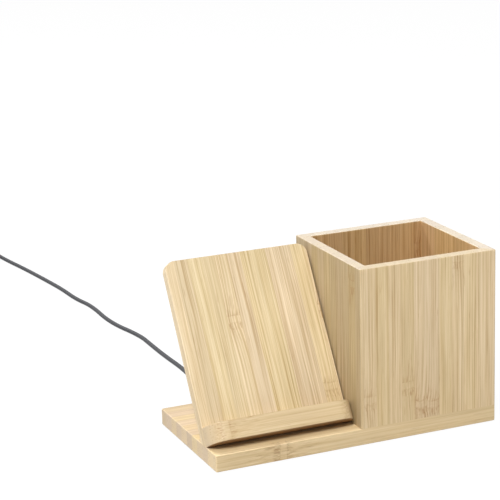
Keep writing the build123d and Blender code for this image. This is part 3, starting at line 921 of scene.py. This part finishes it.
def rounded_ring(width: float, height: float, corner: float, steps: int = 8) -> list[Pair]:
    """Outline of a rounded rectangle about the origin, anticlockwise.

    Args:
        width: size along the first axis.
        height: size along the second axis.
        corner: radius of the corners, limited by half the smaller size.
        steps: steps in each quarter turn.

    Returns:
        The outline's points.
    """
    corner = min(corner, width / 2, height / 2)
    points = []
    for quarter, (right, up) in enumerate(((1, 1), (-1, 1), (-1, -1), (1, -1))):
        middle = (right * (width / 2 - corner), up * (height / 2 - corner))
        for step in range(steps + 1):
            angle = (quarter + step / steps) * math.pi / 2
            points.append((middle[0] + corner * math.cos(angle), middle[1] + corner * math.sin(angle)))
    return points


def loft(name: str, rings: Iterable[Sequence[Point]], sharp: float = 40.0) -> bpy.types.Object:
    """Skin a row of rings with faces and close both ends.

    Args:
        name: the piece's name.
        rings: outlines in millimetres, each with as many points.
        sharp: degrees above which an edge stays sharp.

    Returns:
        The piece.
    """
    mesh = bpy.data.meshes.new(name)
    shape = bmesh.new()
    made = [[shape.verts.new(Vector(point) * MM) for point in ring] for ring in rings]
    for low, high in zip(made, made[1:]):
        for index in range(len(low)):
            after = (index + 1) % len(low)
            shape.faces.new((low[index], low[after], high[after], high[index]))
    shape.faces.new(made[0])
    shape.faces.new(reversed(made[-1]))
    bmesh.ops.remove_doubles(shape, verts=shape.verts, dist=MM / 1000)
    bmesh.ops.recalc_face_normals(shape, faces=shape.faces)
    shape.to_mesh(mesh)
    shape.free()
    mesh.shade_smooth()
    mesh.set_sharp_from_angle(angle=math.radians(sharp))
    return new_object(name, mesh)


def finish_piece(piece: bpy.types.Object, finish: Finish, body: str, slot: str, *nodes: str) -> None:
    """Give a new piece its finish, its body and the frame nodes that it stands for.

    Args:
        piece: the piece.
        finish: what its surface is.
        body: the frame body that carries it.
        slot: the record's material slot; not used.
        *nodes: the frame nodes that it replaces.
    """
    piece.data.materials.append(finish.material())
    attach(piece, body)
    if nodes:
        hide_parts(*nodes)
    LOG.info("made %s in %s", piece.name, finish.name)


def dress(node: str, finish: Finish) -> None:
    """Give a frame node its finish.

    Args:
        node: the frame node's name.
        finish: what its surface is.
    """
    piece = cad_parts[node]
    if not piece.material_slots:
        piece.data.materials.append(None)
    for slot in piece.material_slots:
        slot.material = finish.material()
    LOG.info("dressed %s in %s", node, finish.name)


def drawn_strips(seed: int, count: int, low: float, high: float, chance: float = 0.35) -> tuple[Strip, ...]:
    """Draw the strips of a board by lot, the same ones each time.

    Args:
        seed: the lot's number.
        count: how many strips.
        low: lowest place of a knuckle along the grain, in millimetres.
        high: highest place.
        chance: share of the strips with a knuckle on the board.

    Returns:
        The strips, in order across the board.
    """
    lot = random.Random(seed)
    strips = []
    for _ in range(count):
        tone, warmth, place = lot.uniform(-0.7, 0.7), lot.uniform(-0.8, 0.8), lot.uniform(low, high)
        strips.append(Strip(tone, warmth, place if lot.random() < chance else None))
    return tuple(strips)


@dataclass
class BambooBoards:
    """The glued boards: base, cup walls and floor, leaning panel with its back cover, lip and dowels."""

    left_end: float = -81.0
    front_face: float = -39.0
    base_bottom: float = 1.0
    base_top: float = 10.0
    cup_left: float = 1.0
    cup_right: float = 81.0
    cup_back: float = 39.0
    panel_middle: float = -40.4
    panel_foot: float = -26.3
    panel_width: float = 81.2
    panel_lean: float = 30.8

    def base(self) -> Bamboo:
        """Base board, grain along its length. A knuckle shows on its front, left of the middle.

        Returns:
            The finish.
        """
        # The paler colours and the two pale front strips, with the front and back faces tinted darker, are
        # painted light on the top in front of the lip
        strips = (Strip(1.0, -0.2, 37.0, 0.5), Strip(1.2, -0.3), Strip(-0.3, 0.8, 150.0), Strip(-0.1, 0.4),
                  Strip(0.5, -0.6, 12.0), Strip(-1.2, 1.1), Strip(0.3, 0.2), Strip(-0.7, 1.1, 96.0),
                  Strip(0.2, -0.1), Strip(-0.5, 1.3), Strip(-1.0, 0.4, 61.0), Strip(-0.3, 0.8))
        return Bamboo("base_bamboo", Lay.FLAT_ALONG_X, strips,
                      (self.left_end, self.front_face, self.base_bottom), first_edge=3.4, seed=11.0,
                      streaks=0.5, blends=1.5, pale="#F4DFB7", plain="#E5CDA1", dark="#CAAE7C",
                      sawn="#D3BD98", painted_edge_light_tint="#DCDAD8")

    def cup_walls(self) -> dict[str, Bamboo]:
        """Four upright walls. The front and left ones have their knuckles where the photograph shows them.

        Returns:
            The finish of each wall.
        """
        front = (Strip(-0.1, 0.1), Strip(-0.1, 0.2, 14.4, 0.35), Strip(-0.2, -0.4), Strip(0.1, 0.2),
                 Strip(-0.5, -0.3, 19.0, 0.5), Strip(-0.2, 0.5, 7.0, 0.55), Strip(-0.3, 0.6, 6.0, 0.55),
                 Strip(0.1, -0.4), Strip(0.3, 0.1, 84.0, 0.4), Strip(0.4, -0.2), Strip(0.7, 0.3),
                 Strip(0.7, 0.4))
        left = (Strip(-0.1, 0.2), Strip(0.2, -0.5, 75.9), Strip(-0.3, 0.1), Strip(0.1, 0.5),
                Strip(-0.4, -0.2), Strip(0.2, -0.4), Strip(-0.1, 0.4, 22.0), Strip(0.3, -0.3),
                Strip(-0.3, 0.6), Strip(0.0, 0.0), Strip(0.2, 0.3, 50.0), Strip(0.1, 0.2))
        sawn = "#E0D3BF"
        corner = (self.cup_left, self.front_face, self.base_top)
        right = (self.cup_right, self.front_face, self.base_top)
        back = (self.cup_left, self.cup_back, self.base_top)
        return {
            # Each wall's inside tint darkens its faces inside the cup: painted shade
            "cup_front_wall": Bamboo("front_wall_bamboo", Lay.UPRIGHT_ACROSS_X, front, corner,
                                     first_edge=1.6, seed=23.0, sawn="#DBC9A9", painted_inside_shade="#ECDAC4"),
            # The left wall's darker colours are painted shade over the whole wall
            "cup_left_wall": Bamboo("left_wall_bamboo", Lay.UPRIGHT_ACROSS_Y, left, corner,
                                    first_edge=5.4, seed=37.0, pale="#C5B28F", plain="#B4A07A",
                                    dark="#9A8056", sawn="#DCCCB3", painted_inside_shade="#ECDAC4"),
            "cup_right_wall": Bamboo("right_wall_bamboo", Lay.UPRIGHT_ACROSS_Y, drawn_strips(5, 12, 5, 80),
                                     right, first_edge=4.1, seed=41.0, streaks=1.1, sawn=sawn,
                                     painted_inside_shade="#FFECD4"),
            "cup_back_wall": Bamboo("back_wall_bamboo", Lay.UPRIGHT_ACROSS_X, drawn_strips(8, 12, 5, 80),
                                    back, first_edge=2.7, seed=59.0, streaks=1.1, sawn=sawn,
                                    painted_inside_shade="#E6D3BC"),
        }

    def leaning(self) -> dict[str, Finish]:
        """Panel, back cover, lip and dowels, which lean back together.

        Returns:
            The finish of each.
        """
        foot = (self.panel_middle, self.panel_foot, self.base_top)
        half = self.panel_width / 2
        panel = (Strip(1.0, 0.2), *drawn_strips(3, 12, 8, 95, 0.4))
        batch = {"pale": "#DFCCA9", "plain": "#D0BB94", "dark": "#B79C6F", "lean": self.panel_lean}
        lip = (Strip(0.0, 0.0, -33.0, 0.4), Strip(0.1, 0.1, 22.0, 0.15), Strip(0.2, -0.2))
        return {
            # The panel's long edges are tinted paler: painted light
            "charger_panel": Bamboo("panel_bamboo", Lay.UPRIGHT_ACROSS_X, panel, foot, first_edge=-half + 5.2,
                                    seed=67.0, blends=1.2, painted_edge_light_tint="#F1F3F8", painted_edge_light_lift=1.25,
                                    **batch),
            "panel_back_cover": Bamboo("cover_bamboo", Lay.UPRIGHT_ACROSS_X, drawn_strips(14, 13, 8, 95, 0.4),
                                       foot, first_edge=-half + 2.1, seed=71.0, **batch),
            # The lip's darker lower face is painted shade
            "phone_lip": Bamboo("lip_bamboo", Lay.FLAT_ALONG_X, lip, foot, first_edge=-7.6,
                                lean=self.panel_lean, seed=83.0, streaks=0.42, painted_under_shade="#A78A69"),
            "lip_dowels": TurnedBeech("turned_beech", self.panel_lean),
        }

    def build(self) -> None:
        """Dress every board."""
        dress("base_board", self.base())
        for node, finish in {**self.cup_walls(), **self.leaning()}.items():
            dress(node, finish)
        # The floor's inside tint darkens it inside the cup: painted shade
        dress("cup_floor", Bamboo("floor_bamboo", Lay.FLAT_ALONG_X, drawn_strips(21, 12, 90, 150),
                                  (self.left_end, self.front_face, self.base_top), first_edge=6.0,
                                  seed=101.0, painted_inside_shade="#ECDAC4", inside_depth=0.0))


@dataclass
class Underside:
    """Feet, bay cover and the screws, seen from below."""

    rubber: Finish = MouldedPlastic("silicone_rubber", "#2A2A2B", roughness=0.75, ior=1.41, grain=0.25)
    cover: Finish = MouldedPlastic("etched_abs", "#353538", roughness=0.55, ior=1.53, grain=0.4,
                                   grain_depth=0.04)
    zinc: Finish = PlatedMetal("zinc_plated_steel", "#B9BBBA", roughness=0.34)

    def build(self) -> None:
        """Dress the pieces under the base."""
        dress("rubber_feet", self.rubber)
        dress("base_cover_plate", self.cover)
        dress("cover_screws", self.zinc)
        dress("cup_screws", self.zinc)


@dataclass
class ChargerParts:
    """Coil and ferrite in the panel, and the circuit in its bay."""

    copper: Finish = PlatedMetal("enamelled_copper", "#B8683A", roughness=0.32, line_width=0.2)
    ferrite: Finish = MouldedPlastic("sintered_ferrite", "#3A3A3D", roughness=0.62, ior=1.9, grain=0.15)
    wire: Finish = MouldedPlastic("wire_insulation", "#A3231B", roughness=0.4, grain=0.5)
    circuit: Finish = PrintedCircuit("masked_laminate")
    tape: Finish = MouldedPlastic("foam_tape", "#D2CEC3", roughness=0.9, grain=0.4, grain_depth=0.06)
    epoxy: Finish = MouldedChip("moulded_epoxy", "#1E1E1F", roughness=0.55)
    ceramic: Finish = DippedCeramic("fired_ceramic", "#B08D63", roughness=0.4)
    nickel: Finish = PlatedMetal("nickel_plated_steel", "#C9C6C0", roughness=0.26)
    nylon: Finish = MouldedPlastic("moulded_nylon", "#1B1B1C", roughness=0.5, ior=1.53, grain=0.15)

    def build(self) -> None:
        """Dress the coil, the circuit and the socket."""
        finishes = {
            "charging_coil": self.copper, "ferrite_disc": self.ferrite, "coil_leads": self.wire,
            "circuit_board": self.circuit, "board_tape": self.tape, "controller_chip": self.epoxy,
            "driver_chips": self.epoxy, "resonant_capacitors": self.ceramic, "power_inductor": self.ferrite,
            "usb_c_socket_shell": self.nickel, "usb_c_socket_tongue": self.nylon,
        }
        for node, finish in finishes.items():
            dress(node, finish)


@dataclass
class ChargeCable:
    """The cable with its USB-C plug, its put-away coil and its USB-A plug."""

    diameter: float = 2.6
    length: float = 0.965  # metres from relief to relief
    panel_middle: float = -40.4
    socket_level: float = 5.11
    cable_exit: float = 74.4
    lay_level: float = 1.3
    coil_centre: Pair = (-86.5, 439.0)
    coil_outer: float = 20.55
    coil_step: float = 1.85
    coil_half_turns: int = 6
    coil_rise: float = 3.15
    half_turn_points: int = 8
    c_body_face: float = 39.4
    c_body_size: Point = (11.5, 6.0, 19.0)
    c_shell_size: Point = (8.25, 2.4, 6.65)
    c_shell_wall: float = 0.35
    a_body_size: Point = (15.6, 8.6, 21.0)
    a_body_corner: float = 1.4
    grip_span: Pair = (0.26, 0.72)  # shares of a plug body's length between which it is ribbed
    grip_grooves: int = 6
    grip_depths: Pair = (0.12, 0.32)  # how deep the grip's ribs and its grooves lie below the flat sides
    relief_length: float = 16.0
    relief_root: float = 4.8
    relief_tip: float = 3.6
    relief_groove: float = 0.5
    relief_grooves: int = 6
    relief_plain: float = 0.03  # share of its length that is left plain at each end
    jacket: Finish = MouldedPlastic("soft_pvc_jacket", "#323338", roughness=0.5, grain=0.5, grain_depth=0.01)
    plug: Finish = MouldedPlastic("moulded_pvc", "#2E2F33", roughness=0.52, grain=0.3)
    nickel: Finish = ChargerParts.nickel

    def route(self) -> list[Point]:
        """Points of the free stretch over the table, in millimetres.

        Returns:
            The points from the USB-C plug's relief to the coil.
        """
        level = self.lay_level
        entry = (self.coil_centre[0] + self.coil_outer, self.coil_centre[1] - self.diameter)
        return [
            (self.panel_middle, self.cable_exit, self.socket_level),
            (self.panel_middle, 84.0, self.socket_level),
            (-39.0, 101.0, level),
            (-37.8, 120.0, level),
            (-38.9, 144.4, level),
            (-38.9, 169.0, level),
            (-38.6, 189.5, level),
            (-46.4, 224.0, level),
            (-45.2, 263.5, level),
            (-49.6, 283.5, level),
            (-50.7, 309.0, level),
            (-54.2, 337.4, level),
            (-58.9, 371.0, level),
            (-63.4, 396.5, level),
            (entry[0], entry[1] - 20.0, level),
            (*entry, level),
        ]

    def coil(self) -> list[Point]:
        """Points of the coil: in through the lower layer, a rise, and out through the upper one.

        Returns:
            The points, in millimetres, to the USB-A plug's relief.
        """
        outward = 1 / math.cos(math.pi / 2 / self.half_turn_points)
        last = 2 * self.coil_half_turns + 1
        inner = self.coil_outer - self.coil_half_turns * self.coil_step
        points = []
        for step in range(last * self.half_turn_points + 1):
            half = step / self.half_turn_points
            inwards = min(half, self.coil_half_turns)
            outwards = max(0.0, half - self.coil_half_turns - 1)
            radius = (inner + (self.coil_half_turns - inwards + outwards) * self.coil_step) * outward
            risen = min(1.0, max(0.0, half - self.coil_half_turns))
            points.append((self.coil_centre[0] + radius * math.cos(math.pi * half),
                           self.coil_centre[1] + radius * math.sin(math.pi * half),
                           self.lay_level + self.coil_rise * risen))
        points.append((self.coil_centre[0] - self.coil_outer, self.coil_centre[1] - self.diameter,
                       self.lay_level + self.coil_rise))
        return points

    def cord(self) -> bpy.types.Object:
        """Make the cord as one smooth spline.

        Returns:
            The cord.
        """
        points = self.route() + self.coil()
        curve = bpy.data.curves.new("charge_cord", "CURVE")
        curve.dimensions = "3D"
        curve.bevel_depth = self.diameter / 2 * MM
        curve.bevel_resolution = 6
        curve.resolution_u = 10
        curve.use_fill_caps = True
        spline = curve.splines.new("NURBS")
        spline.points.add(len(points) - 1)
        for control, point in zip(spline.points, points):
            control.co = (*(Vector(point) * MM), 1.0)
        spline.order_u = 3
        spline.use_endpoint_u = True
        return new_object("charge_cord", curve)

    def relief(self, name: str, x: float, root: float, z: float) -> bpy.types.Object:
        """Make a tapered strain relief along +Y with soft grooves round it.

        Args:
            name: the piece's name.
            x: place of its middle line.
            root: place of its thick end along Y.
            z: height of its middle line.

        Returns:
            The relief.
        """
        waves = self.relief_grooves + 0.5
        steps = round(12 * waves)
        rings = []
        for step in range(steps + 1):
            share = step / steps
            size = self.relief_root + (self.relief_tip - self.relief_root) * share
            if self.relief_plain < share < 1 - self.relief_plain:
                size -= self.relief_groove * (0.5 - 0.5 * math.cos(2 * math.pi * share * waves)) ** 2
            rings.append([(x + a, root + share * self.relief_length, z + b)
                          for a, b in rounded_ring(size, size, size / 2)])
        return loft(name, rings)

    def plug_body(self, name: str, x: float, face: float, z: float, size: Point,
                  corner: float) -> bpy.types.Object:
        """Make a moulded plug body along +Y, with soft ends and a grip of grooves across its flat sides.

        Args:
            name: the piece's name.
            x: place of its middle line.
            face: place along Y of the end that the shell comes out of.
            z: height of its middle line.
            size: width, height and length.
            corner: radius of its corners.

        Returns:
            The body.
        """
        width, height, length = size
        ribs, grooves = self.grip_depths

        # Place along the body, then how far the outline is drawn in at its sides and at its flats
        stations = [(0.0, 0.35, 0.35), (0.08, 0.12, 0.12), (0.3, 0.0, 0.0)]
        start, end = [share * length for share in self.grip_span]
        steps = 8 * self.grip_grooves
        for step in range(steps + 1):
            share = step / steps
            fade = min(1.0, self.grip_grooves * share, self.grip_grooves * (1 - share))
            wave = 0.5 - 0.5 * math.cos(2 * math.pi * self.grip_grooves * share)
            stations.append((start + share * (end - start), 0.0, (ribs + (grooves - ribs) * wave) * fade))
        for left, inset in ((1.6, 0.0), (0.9, 0.15), (0.35, 0.5), (0.0, 1.1)):
            stations.append((length - left, inset, inset))
        return loft(name, [
            [(x + a, face + place, z + b)
             for a, b in rounded_ring(width - 2 * sides, height - 2 * flats, corner)]
            for place, sides, flats in stations
        ])

    def c_shell(self) -> bpy.types.Object:
        """Make the USB-C plug's drawn shell, with a rolled mouth.

        Returns:
            The shell.
        """
        width, height, length = self.c_shell_size
        wall, mouth = self.c_shell_wall, self.c_body_face - length

        # Place along Y and how far the outline is drawn in: forward outside, round the mouth and back inside
        stations = [(self.c_body_face, 0.0), (mouth + 0.15, 0.0), (mouth + 0.04, 0.05), (mouth, 0.14),
                    (mouth, wall - 0.1), (mouth + 0.1, wall), (self.c_body_face - 0.4, wall)]
        rings = [[(self.panel_middle + a, place, self.socket_level + b)
                  for a, b in rounded_ring(width - 2 * inset, height - 2 * inset, height)]
                 for place, inset in stations]
        return loft("usb_c_plug_shell_drawn", rings)

    def build(self) -> None:
        body = "charge_cable"
        end_x = self.coil_centre[0] - self.coil_outer
        end_z = self.lay_level + self.coil_rise
        relief_tip = self.coil_centre[1] - self.diameter
        a_rear = relief_tip - self.relief_length
        a_front = a_rear - self.a_body_size[2]
        c_rear = self.c_body_face + self.c_body_size[2]

        cord = self.cord()
        finish_piece(cord, self.jacket, body, "cable_rubber", "cable", "cable_coil")
        near_relief = self.relief("usb_c_relief", self.panel_middle, c_rear, self.socket_level)
        finish_piece(near_relief, self.plug, body, "cable_rubber", "usb_c_strain_relief")
        far_relief = self.relief("usb_a_relief", end_x, a_rear, end_z)
        finish_piece(far_relief, self.plug, body, "cable_rubber", "usb_a_strain_relief")
        c_body = self.plug_body("usb_c_grip", self.panel_middle, self.c_body_face, self.socket_level,
                                self.c_body_size, self.c_body_size[1])
        finish_piece(c_body, self.plug, body, "plug_plastic", "usb_c_plug_body")
        a_body = self.plug_body("usb_a_grip", end_x, a_front, end_z, self.a_body_size,
                                self.a_body_corner)
        finish_piece(a_body, self.plug, body, "plug_plastic", "usb_a_plug_body")
        c_shell = self.c_shell()
        finish_piece(c_shell, self.nickel, body, "connector_steel", "usb_c_plug_shell")
        dress("usb_a_plug_shell", self.nickel)
        dress("usb_a_plug_tongue", ChargerParts.nylon)


@dataclass
class Studio:
    """White sweep, soft lamps and the camera."""

    aim: Point = (-42.1, 1.0, 103.0)
    azimuth: float = -22.81
    elevation: float = 15.52
    roll: float = -1.70
    distance: float = 977.0
    lens: float = 135.9
    floor_size: float = 6.0
    floor_bounce: str = "#DADAD9"
    floor_glow: float = 1.035
    sky: float = 0.25
    shadow_share: float = 0.08
    lamp_size: float = 0.5
    lamp_distance: float = 1.6
    # Each lamp's name, watts, azimuth and elevation
    lamps: tuple[tuple[str, float, float, float], ...] = (
        ("key_soft_box", 20.6, -37.0, 43.0),
        ("back_soft_box", 10.5, -150.0, 45.0),
        ("fill_soft_box", 3.6, 50.0, 60.0),
    )

    def direction(self, azimuth: float, elevation: float) -> Vector:
        """Direction from the object towards a lamp or the camera.

        Args:
            azimuth: degrees round the object, 0 in front and positive to the right.
            elevation: degrees above the table.

        Returns:
            A unit vector.
        """
        turn, rise = math.radians(azimuth), math.radians(elevation)
        return Vector((math.sin(turn) * math.cos(rise), -math.cos(turn) * math.cos(rise), math.sin(rise)))

    def camera(self) -> None:
        """Set the camera where the photograph was taken from."""
        back = self.direction(self.azimuth, self.elevation)
        right = Vector((0, 0, 1)).cross(back).normalized()
        up = back.cross(right)
        turn = math.radians(self.roll)
        tilted = right * math.cos(turn) + up * math.sin(turn)
        upright = up * math.cos(turn) - right * math.sin(turn)
        data = bpy.data.cameras.new("camera")
        data.lens, data.sensor_width = self.lens, 36.0
        data.clip_start, data.clip_end = 0.05, 20.0
        made = new_object("camera", data)
        rotation = Matrix((tilted, upright, back)).transposed().to_4x4()
        made.matrix_world = Matrix.Translation((Vector(self.aim) + back * self.distance) * MM) @ rotation
        bpy.context.scene.camera = made

    def seen_directly(self, tree: bpy.types.NodeTree) -> bpy.types.Node:
        """Add nodes that give 1 where the camera, a reflection or a refraction sees a surface.

        Args:
            tree: the node tree.

        Returns:
            The node with that value.
        """
        path = add_node(tree, "LightPath")
        either = add_node(tree, "Math", {
            0: path.outputs["Is Camera Ray"], 1: path.outputs["Is Glossy Ray"],
        }, operation="MAXIMUM")
        return add_node(tree, "Math", {
            0: either, 1: path.outputs["Is Transmission Ray"],
        }, operation="MAXIMUM")

    def floor(self) -> None:
        """Lay the white floor, which keeps a faint shadow."""
        shape = bmesh.new()
        bmesh.ops.create_grid(shape, x_segments=2, y_segments=2, size=self.floor_size / 2)
        mesh = bpy.data.meshes.new("floor")
        shape.to_mesh(mesh)
        shape.free()
        floor = new_object("floor", mesh)
        material = bpy.data.materials.new("white_sweep")
        tree = empty_tree(material)
        bounce = add_node(tree, "BsdfDiffuse", {"Color": linear(self.floor_bounce)})
        shaded = add_node(tree, "BsdfDiffuse", {"Color": linear("#FFFFFF")})
        glow = add_node(tree, "Emission", {"Color": linear("#FFFFFF"), "Strength": self.floor_glow})
        white = add_node(tree, "MixShader", {0: 1 - self.shadow_share, 1: shaded, 2: glow})
        surface = add_node(tree, "MixShader", {0: self.seen_directly(tree), 1: bounce, 2: white})
        add_node(tree, "OutputMaterial", {"Surface": surface})
        mesh.materials.append(material)

    def world(self) -> None:
        """Light from a plain white room."""
        world = bpy.data.worlds.new("white_room")
        tree = empty_tree(world)
        strength = add_node(tree, "MapRange", {"Value": self.seen_directly(tree), "To Min": self.sky})
        background = add_node(tree, "Background", {"Color": linear("#FFFFFF"), "Strength": strength})
        add_node(tree, "OutputWorld", {"Surface": background})
        bpy.context.scene.world = world

    def lamp(self, name: str, power: float, azimuth: float, elevation: float) -> None:
        """Hang one large soft lamp that faces the object.

        Args:
            name: the lamp's name.
            power: its watts.
            azimuth: degrees round the object.
            elevation: degrees above the table.
        """
        data = bpy.data.lights.new(name, "AREA")
        data.shape, data.size, data.energy = "DISK", self.lamp_size, power
        lamp = new_object(name, data)
        towards = self.direction(azimuth, elevation)
        lamp.location = towards * self.lamp_distance
        lamp.rotation_euler = towards.to_track_quat("Z", "Y").to_euler()

    def build(self) -> None:
        """Set up the floor, the light and the camera."""
        bpy.context.scene.view_settings.view_transform = "Standard"
        self.floor()
        self.world()
        for lamp in self.lamps:
            self.lamp(*lamp)
        self.camera()
        LOG.info("set up the studio")


def main() -> None:
    """Dress the frame, make the cable and set up the studio."""
    logging.basicConfig(level=logging.INFO, format="%(name)s: %(message)s")
    for assembly in (BambooBoards(), Underside(), ChargerParts(), ChargeCable(), Studio()):
        assembly.build()


if __name__ == "__main__":
    main()
